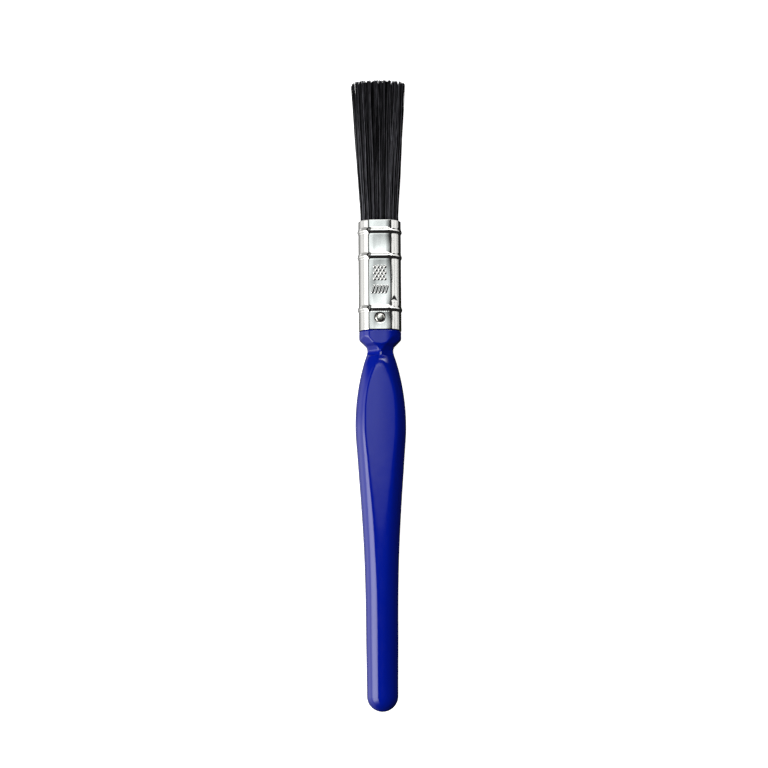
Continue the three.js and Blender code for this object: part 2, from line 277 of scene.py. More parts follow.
def add_node(nodes, kind, **inputs):
    """A node with some of its inputs set; an input's name has _ in place of spaces."""
    node = nodes.new(kind)
    for key, value in inputs.items():
        node.inputs[key.replace("_", " ")].default_value = value
    return node


def noise(nodes, links, scale, detail=3.0, stretch=(1, 1, 1)):
    """A noise's value over the object, in its own coordinates; stretch sets its scale on each axis."""
    place = nodes.new("ShaderNodeTexCoord")
    mapping = add_node(nodes, "ShaderNodeMapping", Scale=stretch)
    texture = add_node(nodes, "ShaderNodeTexNoise", Scale=scale, Detail=detail)
    links.new(place.outputs["Object"], mapping.inputs["Vector"])
    links.new(mapping.outputs["Vector"], texture.inputs["Vector"])
    return texture.outputs["Fac"]


def remap(nodes, links, value, to_low, to_high):
    """A noise's value, spread out between two others."""
    node = add_node(
        nodes, "ShaderNodeMapRange", From_Min=NOISE_LOW, From_Max=NOISE_HIGH, To_Min=to_low, To_Max=to_high
    )
    links.new(value, node.inputs["Value"])
    return node.outputs["Result"]


def two_colours(nodes, links, value, first, second, low=NOISE_LOW, high=NOISE_HIGH):
    """A colour that runs from the first to the second as a value goes from low to high."""
    ramp = nodes.new("ShaderNodeValToRGB")
    ramp.color_ramp.elements[0].position = low
    ramp.color_ramp.elements[0].color = (*first, 1)
    ramp.color_ramp.elements[1].position = high
    ramp.color_ramp.elements[1].color = (*second, 1)
    links.new(value, ramp.inputs["Fac"])
    return ramp.outputs["Color"]


def bump(nodes, links, height, distance):
    """A normal for a height whose full range is a distance in metres."""
    node = add_node(nodes, "ShaderNodeBump", Strength=1.0, Distance=distance)
    links.new(height, node.inputs["Height"])
    return node.outputs["Normal"]


def lacquer_material():
    """Deep blue gloss: a little cloudy in depth, with orange peel and faint handling marks."""
    material, nodes, links = new_material("blue_lacquer")
    shader = nodes["Principled BSDF"]
    cloud = noise(nodes, links, 60, 2, stretch=(1, 0.35, 1))
    colour = two_colours(nodes, links, cloud, (0.0, 0.006, 0.235), (0.0, 0.009, 0.265))
    links.new(colour, shader.inputs["Base Color"])
    marks = noise(nodes, links, 420, 4, stretch=(1, 0.4, 1))
    links.new(remap(nodes, links, marks, 0.05, 0.1), shader.inputs["Roughness"])
    peel = noise(nodes, links, 330, 1)
    links.new(bump(nodes, links, peel, 0.00001), shader.inputs["Normal"])
    shader.inputs["IOR"].default_value = 1.55
    return material


def nickel_material():
    """Bright nickel plate on rolled strip, with faint lengthwise grain and waviness."""
    material, nodes, links = new_material("nickel_plate")
    shader = nodes["Principled BSDF"]
    shader.inputs["Metallic"].default_value = 1.0
    tone = noise(nodes, links, 140, 3, stretch=(1, 0.3, 1))
    colour = two_colours(nodes, links, tone, (0.62, 0.617, 0.595), (0.7, 0.697, 0.675))
    links.new(colour, shader.inputs["Base Color"])
    grain = noise(nodes, links, 1500, 3, stretch=(1, 0.06, 1))
    links.new(remap(nodes, links, grain, 0.1, 0.17), shader.inputs["Roughness"])
    wave = noise(nodes, links, 260, 2, stretch=(1, 0.5, 1))
    links.new(bump(nodes, links, wave, 0.00003), shader.inputs["Normal"])
    return material


def brad_material():
    """Bright steel wire, a little darker and rougher than the plate."""
    material, nodes, links = new_material("brad_steel")
    shader = nodes["Principled BSDF"]
    shader.inputs["Metallic"].default_value = 1.0
    stain = noise(nodes, links, 900, 3)
    colour = two_colours(nodes, links, stain, (0.55, 0.54, 0.5), (0.7, 0.69, 0.64))
    links.new(colour, shader.inputs["Base Color"])
    links.new(remap(nodes, links, stain, 0.24, 0.14), shader.inputs["Roughness"])
    links.new(bump(nodes, links, noise(nodes, links, 1400, 2), 0.00003), shader.inputs["Normal"])
    return material


def bristle_material():
    """Dark filaments, each as pale as its own tone, which carries a painted sheen in streaks, a little uneven
    along its length.
    """
    material, nodes, links = new_material("bristle_filament")
    shader = nodes["Principled BSDF"]
    tone = nodes.new("ShaderNodeAttribute")
    tone.attribute_name = "tone"
    streak = noise(nodes, links, 2600, 2, stretch=(1, 0.12, 1))
    uneven = nodes.new("ShaderNodeMath")
    uneven.operation = "MULTIPLY"
    links.new(tone.outputs["Fac"], uneven.inputs[0])
    links.new(remap(nodes, links, streak, 0.5, 1.5), uneven.inputs[1])
    # The grey is the painted sheen of the pale streaks, as the shader's own specular is kept faint.
    black, grey = (0.0006, 0.0006, 0.0008), (0.128, 0.128, 0.144)
    colour = two_colours(nodes, links, uneven.outputs[0], black, grey, low=0, high=1)
    links.new(colour, shader.inputs["Base Color"])
    links.new(remap(nodes, links, streak, 0.4, 0.6), shader.inputs["Roughness"])
    shader.inputs["Specular IOR Level"].default_value = 0.05
    return material


def resin_material():
    """Amber setting resin with small bubbles."""
    material, nodes, links = new_material("setting_resin")
    shader = nodes["Principled BSDF"]
    cloud = noise(nodes, links, 300, 4)
    colour = two_colours(nodes, links, cloud, (0.2, 0.09, 0.02), (0.38, 0.2, 0.05))
    links.new(colour, shader.inputs["Base Color"])
    bubbles = noise(nodes, links, 2200, 1)
    links.new(remap(nodes, links, bubbles, 0.18, 0.4), shader.inputs["Roughness"])
    links.new(bump(nodes, links, bubbles, 0.0001), shader.inputs["Normal"])
    return material


def plug_material():
    """Raw pale wood, its grain along the brush."""
    material, nodes, links = new_material("plug_wood")
    shader = nodes["Principled BSDF"]
    grain = noise(nodes, links, 900, 5, stretch=(1, 0.06, 1))
    colour = two_colours(nodes, links, grain, (0.42, 0.26, 0.12), (0.66, 0.47, 0.27))
    links.new(colour, shader.inputs["Base Color"])
    links.new(remap(nodes, links, grain, 0.75, 0.6), shader.inputs["Roughness"])
    links.new(bump(nodes, links, grain, 0.0001), shader.inputs["Normal"])
    return material


LACQUER = lacquer_material()
NICKEL = nickel_material()
BRAD_STEEL = brad_material()
BRISTLE = bristle_material()
RESIN = resin_material()
PLUG_WOOD = plug_material()


# ------------------------------------------------------------------ the ferrule's section
EASE_DROP = EASE_RADIUS * (1 - math.cos(EASE_ANGLE))
FOLD_Z = HALF_THICKNESS - EASE_DROP - FOLD_RADIUS * (math.cos(EASE_ANGLE) - math.cos(FOLD_ANGLE))
SIDE_RADIUS = FOLD_Z / math.cos(FOLD_ANGLE)
FOLD_X = HALF_WIDTH - SIDE_RADIUS * (1 - math.sin(FOLD_ANGLE))  # where fold and side meet
PANEL_HALF_WIDTH = FOLD_X - FOLD_RADIUS * (math.sin(FOLD_ANGLE) - math.sin(EASE_ANGLE))
FLAT_HALF_WIDTH = PANEL_HALF_WIDTH - EASE_RADIUS * math.sin(EASE_ANGLE)


def section_quarter(panel_steps, fold_steps, side_steps):
    """A quarter of the section from the middle of the panel to the widest point: x, z, and the
    angle of the outward normal from the panel's."""
    x = np.linspace(0, FLAT_HALF_WIDTH, panel_steps + 1)
    z = np.full(panel_steps + 1, HALF_THICKNESS)
    turn = np.zeros(panel_steps + 1)
    for steps, radius, until in (
        (panel_steps, EASE_RADIUS, EASE_ANGLE),
        (fold_steps, FOLD_RADIUS, FOLD_ANGLE),
        (side_steps, SIDE_RADIUS, math.pi / 2),
    ):
        arc = np.linspace(turn[-1], until, steps + 1)[1:]
        x = np.append(x, x[-1] + radius * (np.sin(arc) - math.sin(turn[-1])))
        z = np.append(z, z[-1] - radius * (math.cos(turn[-1]) - np.cos(arc)))
        turn = np.append(turn, arc)
    return x, z, turn


def full_section(panel_steps, fold_steps, side_steps):
    """The whole section, as points and outward normals in X and Z, starting at the middle of the
    front panel and running towards +X."""
    x, z, turn = section_quarter(panel_steps, fold_steps, side_steps)
    normal_x, normal_z = np.sin(turn), np.cos(turn)
    right = np.stack([x, z, normal_x, normal_z], axis=1)
    half = np.concatenate([right, right[-2::-1] * (1, -1, 1, -1)])
    whole = np.concatenate([half, half[-2:0:-1] * (-1, 1, -1, 1)])
    return whole[:, :2], whole[:, 2:]


# ------------------------------------------------------------------ handle
def handle_half_width(s):
    """The turned outline from the round end to the neck, as a smooth curve through its points."""
    places, widths = (np.array(values) for values in zip(*TURNED))
    slopes = np.gradient(widths, places)
    slopes[0] = 0
    slopes[GRIP_INDEX] = 0
    slopes[-1] = 0
    span = np.clip(np.searchsorted(places, s) - 1, 0, len(places) - 2)
    length = places[span + 1] - places[span]
    t = (s - places[span]) / length
    start = widths[span] * (1 + 2 * t) * (1 - t) ** 2 + slopes[span] * length * t * (1 - t) ** 2
    end = widths[span + 1] * t * t * (3 - 2 * t) + slopes[span + 1] * length * t * t * (t - 1)
    curve = start + end
    dome = np.sqrt(np.clip(END_RADIUS**2 - (END_RADIUS - s) ** 2, 0, None))
    return np.where(s < END_RADIUS, dome, curve)


def soft_minimum(a, b, rounding):
    """The smaller of two values, with the corner between them rounded."""
    h = np.clip(0.5 + 0.5 * (b - a) / rounding, 0, 1)
    return b + (a - b) * h - rounding * h * (1 - h)


def section_radius(angle, inset):
    """The distance from the axis to the ferrule's section, less an inset, in a direction."""
    points, normals = full_section(panel_steps=40, fold_steps=12, side_steps=60)
    points = points - inset * normals
    directions = np.unwrap(np.arctan2(points[:, 0], points[:, 1]))
    return np.interp(angle, directions, np.hypot(points[:, 0], points[:, 1]), period=2 * math.pi)


def column_angles(edge):
    """Directions round the handle from the front, with a narrow band of columns at an edge."""
    front = np.linspace(0, edge - EDGE_BAND, 17)
    rounded = np.linspace(edge - EDGE_BAND, edge + EDGE_BAND, 9)[1:]
    side = np.linspace(edge + EDGE_BAND, math.pi / 2, 21)[1:]
    quarter = np.concatenate([front, rounded, side])
    half = np.concatenate([quarter, math.pi - quarter[-2::-1]])
    return np.concatenate([half, 2 * math.pi - half[-2:0:-1]])


def facet_radius(angle, s, half_width, half_depth):
    """The distance from the axis to the shoulder's slanting facets."""
    parted = FACET_SPREAD * (s - FACET_Y)
    front = min(HALF_THICKNESS - SHOULDER_INSET, math.sqrt(max(half_depth**2 - parted**2, 1)))
    reach = front * math.cos(FACET_ANGLE) + parted * math.sin(FACET_ANGLE)
    reach = max(reach, half_width * (1 - FACET_DEPTH))
    reach += max(0, half_width - reach) * float(1 - smoothstep(s, FACET_END, FACET_END + FACET_RUN_OUT))
    turn = np.abs(np.arctan2(np.abs(np.sin(angle)), np.abs(np.cos(angle))) - FACET_ANGLE)
    return reach / np.clip(np.cos(turn), 0.1, None)


def handle_halves(s):
    """The half-width and half-depth that the handle is turned to, before its flats and facets are cut."""
    if s > NECK_Y:
        half_width = CONE_RADIUS + s - CONE_Y
        if s < CONE_Y:
            t = (s - NECK_Y) / (CONE_Y - NECK_Y)
            half_width = NECK_RADIUS + (CONE_RADIUS - NECK_RADIUS) * t * t
        return half_width, half_width
    half_width = float(handle_half_width(np.array(s)))
    share = SWELL_BELOW + (SWELL_ABOVE - SWELL_BELOW) * smoothstep(s, GRIP_Y, SWELL_ABOVE_Y)
    return half_width, half_width - (1 - share) * max(0, half_width - ROUND_HALF_WIDTH)


def flat_radius(angle):
    """The distance from the axis to the milled flats, which are crowned a little."""
    cosine = np.clip(np.abs(np.cos(angle)), 0.05, None)
    across = FLAT_HALF_THICKNESS * np.sin(angle) / cosine
    crown = np.clip(across**2 / (2 * FLAT_CROWN_RADIUS), 0, 1)
    return (FLAT_HALF_THICKNESS - crown) / cosine


def handle_ring(s):
    """The handle's section at a place up from its end: directions, and distances from the axis."""
    half_width, half_depth = handle_halves(s)
    flat_share = min(1, FLAT_HALF_THICKNESS / half_depth)
    flat_x = half_width * math.sqrt(1 - flat_share**2)
    edge = max(math.atan2(flat_x, FLAT_HALF_THICKNESS), NARROWEST_FLAT)
    edge_at_shoulder = math.atan2(FOLD_X - SHOULDER_INSET, HALF_THICKNESS - SHOULDER_INSET)
    edge += (edge_at_shoulder - edge) * float(smoothstep(s, FINER_FROM, NECK_Y))
    angle = column_angles(edge)
    oval = 1 / np.hypot(np.sin(angle) / half_width, np.cos(angle) / half_depth)
    if s > NECK_Y:
        radius = soft_minimum(oval, section_radius(angle, SHOULDER_INSET), SHOULDER_ROUNDING)
    else:
        radius = soft_minimum(oval, flat_radius(angle), LACQUER_ROUNDING)
    if s > FACET_END:
        radius = soft_minimum(radius, facet_radius(angle, s, half_width, half_depth), FACET_ROUNDING)
    return angle, radius


def make_handle():
    stations = np.concatenate(
        [
            END_RADIUS * (1 - np.cos(np.linspace(0.06, math.pi / 2, 18))),
            np.linspace(END_RADIUS, FINE_FROM, 40)[1:],
            np.linspace(FINE_FROM, FINER_FROM, 130)[1:],
            np.linspace(FINER_FROM, SHOULDER_TOP - SHOULDER_EDGE_LENGTH, 90)[1:],
        ]
    )
    rings = [(s, *handle_ring(s)) for s in stations]
    # The shoulder's edge is rounded over, then the tenon goes on up into the ferrule.
    _, angle, radius = rings[-1]
    for below, inset in SHOULDER_EDGE:
        rings.append((SHOULDER_TOP - below, angle, radius - inset))
    tenon = section_radius(angle, TENON_INSET)
    rings.append((SHOULDER_TOP, angle, tenon))
    rings.append((TENON_TOP - TENON_CHAMFER, angle, tenon))
    rings.append((TENON_TOP, angle, tenon - TENON_CHAMFER))
    points = []
    for s, angle, radius in rings:
        x = radius * np.sin(angle)
        z = AXIS_Z + radius * np.cos(angle)
        points.append(np.stack([x, np.full(len(angle), END_Y + s), z], axis=1))
    return closed_tube("lacquered_handle", np.array(points), LACQUER)


# ------------------------------------------------------------------ ferrule
def bead_out(x, from_mouth):
    """The rolled beads: pinched at the folds, with a faint groove along the lower foot of each."""
    pinch = np.exp(-(((np.abs(x) - PINCH_X) / PINCH_WIDTH) ** 2))
    out = np.zeros(np.broadcast(x, from_mouth).shape)
    for place in BEAD_PLACES:
        down = from_mouth - place - PINCH_SAG * pinch
        t = np.abs(down) / np.where(down > 0, BEAD_UNDERSIDE, BEAD_HALF_LENGTH)
        bead = np.cos(np.clip(t, 0, 1) * math.pi / 2) ** BEAD_POWER
        out += BEAD_HEIGHT * bead * (1 - PINCH_DEPTH * pinch)
        out -= GROOVE_DEPTH * np.exp(-(((t - GROOVE_PLACE) / GROOVE_WIDTH) ** 2)) * (down > 0)
    return out


def crimp_in(x, from_mouth):
    """Fine crimp marks along the foot of the lowest bead, across the panel."""
    foot = np.exp(-(((from_mouth - BEAD_PLACES[-1] - CRIMP_BELOW) / CRIMP_HALF_LENGTH) ** 2))
    inside = 1 - smoothstep(np.abs(x), PANEL_HALF_WIDTH - CRIMP_MARGIN, PANEL_HALF_WIDTH)
    return CRIMP_DEPTH * foot * inside * (1 + np.cos(2 * math.pi * x / CRIMP_PITCH))


def dish_in(x, from_mouth):
    """The panels are pressed in a little between the beads, and roll over more to the right high up."""
    depth = np.zeros(np.broadcast(x, from_mouth).shape)
    across = np.clip(1 - np.abs(x / PANEL_HALF_WIDTH) ** DISH_SQUARENESS, 0, 1)
    right = np.clip((x - ROLL_OVER_X) / (PANEL_HALF_WIDTH - ROLL_OVER_X), 0, 1) ** 2
    ends = [*BEAD_PLACES, MOUTH_Y - EDGE_Y + BEAD_HALF_LENGTH]
    for first, second in zip(ends, ends[1:]):
        low = first + BEAD_HALF_LENGTH
        length = second - BEAD_HALF_LENGTH - low
        along = np.clip((from_mouth - low) / length, 0, 1)
        arch = 4 * along * (1 - along)
        depth += DISH_SLOPE * length / 4 * arch * across
        depth += ROLL_OVER * arch * (1 - along) * right * (x < FOLD_X)
    return depth


def dent_in(x, from_mouth):
    """A small three-cornered dent beside the right fold, just above the lowest bead."""
    down = from_mouth - DENT_FROM_MOUTH
    corner = np.maximum(down * 0.9, np.abs(x - DENT_X) * 0.95 - down * 0.5)
    return DENT_DEPTH * (1 - smoothstep(corner, 0, DENT_SIZE))


def stroke(distance, half_width, softness):
    """The height, 0 to 1, of a raised stroke at a distance from its centre line."""
    return 1 - smoothstep(distance, half_width, half_width + softness)


def emboss_out(x, from_mouth):
    """Plain pressed decoration: a patch of small studs over a row of slanting ribs."""
    out = np.zeros(np.broadcast(x, from_mouth).shape)
    row_pitch = STUD_PITCH * math.sin(math.radians(60))  # each stud is as far from all its neighbours
    for row in range(STUD_ROWS):
        down = from_mouth - STUDS_FROM_MOUTH - row * row_pitch
        studs = STUDS_ACROSS - row % 2
        for column in range(studs):
            across = x - (column - (studs - 1) / 2) * STUD_PITCH
            out = np.maximum(out, stroke(np.hypot(across, down), STUD_RADIUS, STUD_FLANK))
    down = from_mouth - RIBS_FROM_MOUTH
    for index in range(-RIBS_TO_EACH_SIDE, RIBS_TO_EACH_SIDE + 1):
        across = x - index * RIB_PITCH + RIB_SLANT * down
        beyond = np.clip(np.abs(down) - RIB_HALF_LENGTH, 0, None)
        out = np.maximum(out, stroke(np.hypot(across, beyond), RIB_HALF_WIDTH, RIB_FLANK))
    return EMBOSS_HEIGHT * out


def make_ferrule():
    """The outside in rows from the edge up, each moved by what is pressed into the sheet there."""
    points, normals = full_section(panel_steps=16, fold_steps=8, side_steps=18)
    x = points[None, :, 0]
    length = MOUTH_Y - EDGE_Y
    places = np.linspace(length - RIM, RIM, FERRULE_ROWS)[:, None]  # from the mouth, the edge's first
    front = points[None, :, 1] > 0
    back = ~front
    panel = np.abs(x) < PANEL_HALF_WIDTH + 0.01
    out = bead_out(x, places)
    out -= dish_in(x, places)
    out -= crimp_in(x, places) * front * panel
    out -= dent_in(x, places) * front
    out += emboss_out(x, places) * front * panel
    brad = np.hypot(x, places - (length - BRAD_UP))
    out -= DIMPLE_DEPTH * (1 - smoothstep(brad, 0.6 * DIMPLE_RADIUS, DIMPLE_RADIUS)) * panel
    seam = stroke(np.abs(x - SEAM_X), SEAM_WIDTH / 2 - SEAM_FLANK, SEAM_FLANK) * SEAM_HEIGHT
    out = np.where(back & panel, np.maximum(out, seam), out)

    def ring(offset, y):
        """The section, moved out along its normals, at a place along the brush."""
        place = points + normals * np.reshape(offset, (-1, 1))
        return np.stack([place[:, 0], np.full(len(place), y), AXIS_Z + place[:, 1]], axis=1)

    rings = [ring(out[row], MOUTH_Y - places[row, 0]) for row in range(len(places))]
    # Over the mouth's rim, down the inside, and out round the lower edge's.
    turn, bevel = 0.3 * RIM, 0.5 * RIM
    rings.append(ring(out[-1] - turn, MOUTH_Y - turn))
    rings.append(ring(out[-1] - RIM, MOUTH_Y))
    rings.append(ring(-WALL + bevel, MOUTH_Y))
    rings.append(ring(-WALL, MOUTH_Y - bevel))
    rings.append(ring(-WALL, EDGE_Y + bevel))
    rings.append(ring(-WALL + bevel, EDGE_Y))
    rings.append(ring(out[0] - RIM, EDGE_Y))
    rings.append(ring(out[0] - turn, EDGE_Y + turn))
    rings = np.array(rings)
    rows, columns, _ = rings.shape
    faces = tube_faces(rows, columns)
    last = (rows - 1) * columns
    faces += [(last + c, last + (c + 1) % columns, (c + 1) % columns, c) for c in range(columns)]
    return new_piece("nickel_ferrule", rings.reshape(-1, 3), faces, NICKEL)


def make_brad(name, side):
    """A wire nail driven in from the front (1) or the back (-1), with a low domed head.

    Its rings run from the point up the shank, out under the head and in over the dome.
    """
    dome = np.linspace(0, 1, 9)
    radii = [0.02, BRAD_SHANK_RADIUS, BRAD_SHANK_RADIUS, BRAD_HEAD_RADIUS - 0.1, BRAD_HEAD_RADIUS]
    heights = [-BRAD_LENGTH, 1 - BRAD_LENGTH, -DIMPLE_DEPTH, -DIMPLE_DEPTH, -0.05]
    radii += list(BRAD_HEAD_RADIUS * np.cos(dome * math.pi / 2 * 0.98))
    heights += list(BRAD_HEAD_HEIGHT * np.sin(dome * math.pi / 2) ** 0.8)
    around = np.linspace(0, 2 * math.pi, 40, endpoint=False) * -side
    rings = []
    for radius, height in zip(radii, heights):
        y = EDGE_Y + BRAD_UP + radius * np.sin(around)
        z = AXIS_Z + side * (HALF_THICKNESS + height)
        rings.append(np.stack([radius * np.cos(around), y, np.full(len(around), z)], axis=1))
    return closed_tube(name, np.array(rings), BRAD_STEEL)


# ------------------------------------------------------------------ bristles
def pack_points(random, count):
    """Places in the pack's outline, as shares of its half-width and half-depth, evenly scattered."""
    pitch = math.sqrt(4 * PACK_FILL / count)
    aspect = MOUTH_HALF_WIDTH / MOUTH_HALF_DEPTH
    step_x = pitch / math.sqrt(aspect)
    step_z = pitch * math.sqrt(aspect)
    rows = np.arange(-1, 1 + step_z, step_z)
    places = []
    for index, z in enumerate(rows):
        x = np.arange(-1, 1 + step_x, step_x) + (index % 2) * step_x / 2
        places.append(np.stack([x, np.full(len(x), z)], axis=1))
    places = np.concatenate(places)
    places += random.uniform(-PLACE_SCATTER, PLACE_SCATTER, places.shape) * (step_x, step_z)
    inside = (np.abs(places) ** PACK_ROUNDNESS).sum(axis=1) < 1
    return places[inside]


def make_bristles():
    """The filaments' lower and upper stretches, one mesh on each side of the line where they bend."""
    random = np.random.default_rng(12)
    places = pack_points(random, FILAMENTS)
    count = len(places)
    clumps = pack_points(random, round(4 * TIP_HALF_WIDTH * TIP_HALF_DEPTH * PACK_FILL / CLUMP_PITCH**2))
    scale = (TIP_HALF_WIDTH, TIP_HALF_DEPTH)
    gaps = np.linalg.norm((places[:, None] - clumps[None]) * scale, axis=2)
    nearest = gaps.argmin(axis=1)
    centre = clumps[nearest]
    pull = random.uniform(*CLUMP_PULL, len(clumps))[nearest]
    splay = random.normal(0, SPLAY, (count, 2))
    trimmed = TRIM + CORNER_TRIM * np.abs(places[:, 0]) ** 6 + random.uniform(0, 0.25, len(clumps))[nearest]
    length = TIPS_Y - MOUTH_Y - trimmed - np.abs(random.normal(0, 0.2, count))
    outer = (np.abs(places) ** PACK_ROUNDNESS).sum(axis=1) > OUTER
    stray = outer & (random.random(count) < STRAY_SHARE)
    # The pale streaks are a painted sheen on the black filaments; the filaments between them stay near black.
    streak = places[:, 0] / SHEEN_STREAK_SHARE + random.normal(0, 0.16, count)
    sheen_streak_tone = random.uniform(0.25, 1.0, SHEEN_STREAK_TONES)[np.floor(streak).astype(int)]
    light = streak % 1 < SHEEN_STREAK_WIDTH
    painted_sheen_tone = sheen_streak_tone * random.uniform(0.5, 1.0, count)
    tone = np.where(light, painted_sheen_tone, random.uniform(0, BETWEEN_TONE, count))
    worn = np.where(random.random(count) < WORN_SHARE, random.uniform(*WORN_TONE, count), 0)
    phase = random.uniform(0, 2 * math.pi, count)

    def rings(heights):
        """Rings of points at heights above the mouth, an array of filaments by heights."""
        t = np.clip(heights / (TIPS_Y - MOUTH_Y), 0, 1)
        flare = np.clip((heights - FLARE_FROM) / (TIPS_Y - MOUTH_Y - FLARE_FROM), 0, 1)
        half_width = MOUTH_HALF_WIDTH + (TIP_HALF_WIDTH - MOUTH_HALF_WIDTH) * flare
        half_depth = MOUTH_HALF_DEPTH + (TIP_HALF_DEPTH - MOUTH_HALF_DEPTH) * flare
        gather = pull[:, None] * smoothstep(t, 0.25, 1)
        share = places[:, None] + (centre - places)[:, None] * gather[..., None]
        x = share[..., 0] * half_width + LEAN * t**1.3
        z = share[..., 1] * half_depth
        loose = (t**2)[..., None] * splay[:, None] * np.where(stray, STRAY_SPLAY, 1.0)[:, None, None]
        wave = WAVE * np.sin(phase[:, None] + 9 * t) * smoothstep(t, 0, 0.3)
        x = np.clip(x + loose[..., 0] + wave, -WIDEST, WIDEST)
        z = z + loose[..., 1] * 0.6
        radius = ROOT_RADIUS + (TIP_RADIUS - ROOT_RADIUS) * smoothstep(t, 0.35, 1)
        around = np.linspace(0, 2 * math.pi, FILAMENT_SIDES, endpoint=False)
        ring_x = x[..., None] + radius[..., None] * np.cos(around)
        ring_z = AXIS_Z + z[..., None] - radius[..., None] * np.sin(around)
        ring_y = np.broadcast_to((MOUTH_Y + heights)[..., None], ring_x.shape)
        return np.stack([ring_x, ring_y, ring_z], axis=-1)

    def strands(name, heights, at_tips):
        """One stretch of every filament, closed at its outer end and open where the stretches meet."""
        points = rings(heights)
        filaments, rows, sides, _ = points.shape
        faces = []
        for filament in range(filaments):
            start = filament * rows * sides
            faces += tube_faces(rows, sides, start)
            if at_tips:
                faces.append(tuple(range(start + (rows - 1) * sides, start + rows * sides)))
            else:
                faces.append(tuple(range(start + sides - 1, start - 1, -1)))
        piece = new_piece(name, points.reshape(-1, 3), faces, BRISTLE)
        attribute = piece.data.attributes.new("tone", "FLOAT", "POINT")
        shades = tone[:, None] * (HEEL_TONE + (TIP_TONE - HEEL_TONE) * heights / (TIPS_Y - MOUTH_Y))
        if at_tips:
            shades[:, -1] += worn
        attribute.data.foreach_set("value", np.repeat(shades.ravel(), sides).astype(np.float32))
        return piece

    root = BUTTS_Y - MOUTH_Y
    meeting = MEETING_Y - MOUTH_Y
    lower_heights = np.repeat(np.linspace(root, meeting, 7)[None], count, axis=0)
    lower = strands("bristle_heels", lower_heights, at_tips=False)
    upper_share = np.append(np.linspace(0, 0.985, 10), 1)[None]
    upper = strands("bristle_tips", meeting + (length - meeting)[:, None] * upper_share, at_tips=True)
    return lower, upper


# ------------------------------------------------------------------ the brush
handle = make_handle()
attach(handle, "brush")
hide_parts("handle")

ferrule = make_ferrule()
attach(ferrule, "brush")
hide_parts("ferrule")
metal_pieces = [ferrule]

for name, side in (("front_brad", 1), ("back_brad", -1)):
    brad = make_brad(f"domed_{name}", side)
    metal_pieces.append(brad)
    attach(brad, "brush")
    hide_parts(name)

for name, material in (
    ("resin_setting", RESIN),
    ("spacer_plug", PLUG_WOOD),
    ("front_bristle_butts", BRISTLE),
    ("back_bristle_butts", BRISTLE),
):
    materials = frame["nodes"][name].data.materials
    materials.clear()
    materials.append(material)

heels, tips = make_bristles()
bodies = frame["record"]["behaviour"]["bodies"]
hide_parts(*bodies["bristle_heel"])
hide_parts(*bodies["bristle_tips"])
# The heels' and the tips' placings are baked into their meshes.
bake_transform(heels)
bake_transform(tips)


# ------------------------------------------------------------------ studio
FLOOR_HALF = 1.5
FLOOR_GLOW = 0.9  # the table is a lit white panel, which keeps the shadows faint


def make_floor():
    mesh = bpy.data.meshes.new("floor")
    corners = [(FLOOR_HALF * x, FLOOR_HALF * y, 0) for x, y in ((-1, -1), (1, -1), (1, 1), (-1, 1))]
    mesh.from_pydata(corners, [], [(0, 1, 2, 3)])
    floor = bpy.data.objects.new("floor", mesh)
    bpy.context.scene.collection.objects.link(floor)
    material, nodes, _ = new_material("pale_floor")
    sockets = nodes["Principled BSDF"].inputs
    sockets["Base Color"].default_value = (0.9, 0.9, 0.9, 1)
    sockets["Roughness"].default_value = 0.9
    sockets["Specular IOR Level"].default_value = 0.0
    sockets["Emission Color"].default_value = (1, 1, 1, 1)
    sockets["Emission Strength"].default_value = FLOOR_GLOW
    mesh.materials.append(material)
    floor.visible_glossy = False  # the object reflects the studio's walls, not a white table,
    floor.visible_diffuse = False  # and its sides stay dark


# The studio's walls by the angle round the brush's axis, from straight up (0) to the right (90).
# Each stop is an angle in degrees and how bright the wall is there.
LEFT_WALL = ((-92, 0), (-84, 0.1), (-76, 0.8), (-66, 1), (-48, 1), (-37, 0.75), (-32, 0))
LEFT_TABLE = (
    *((-170, 0), (-147, 0.28), (-130, 0.35), (-114, 0.85)),
    *((-102, 1), (-90, 0.85), (-80, 0.5), (-70, 0)),
)
LEFT_EDGE = ((-165, 0), (-150, 1), (-126, 1), (-114, 0))
OVERHEAD = ((-16, 0), (-11, 1), (-3, 1), (7, 0.35), (12, 0))
HIGH_LAMP = ((-14, 0), (2, 0.4), (14, 0.8), (24, 1), (40, 0.5), (58, 0.12), (72, 0))
# How bright each is by how far the direction leans from the handle's end (-1) to the bristles (1).
LEFT_WALL_LEVELS = (
    *((-1, 0), (-0.85, 0.1), (-0.7, 0.9), (-0.4, 4.6), (0.035, 5.2)),
    *((0.105, 3.2), (0.15, 1.8), (0.22, 1.5), (0.32, 0.6), (0.43, 0.03)),
)
LEFT_TABLE_LEVELS = (
    *((-1, 0), (-0.85, 0.1), (-0.7, 0.7), (-0.3, 1.2), (-0.06, 1.8)),
    *((0.1, 1.8), (0.15, 1.2), (0.3, 1.0), (0.45, 0.04)),
)
LEFT_EDGE_LEVELS = ((0.35, 0), (0.5, 0.8), (0.8, 0.8), (1, 0))
OVERHEAD_LEVELS = (
    *((-1, 0), (0.05, 0.01), (0.075, 0.35), (0.084, 0.55), (0.1, 1.0)),
    *((0.14, 1.1), (0.18, 1.25), (0.25, 2.0), (0.3, 1.6), (0.4, 0.1)),
)
HIGH_LAMP_LEVELS = ((0.55, 0), (0.61, 7), (0.67, 8), (0.72, 0))
PLAIN_TINT = (1, 1, 1)
OVERHEAD_TINT = (0.93, 1.0, 1.02)
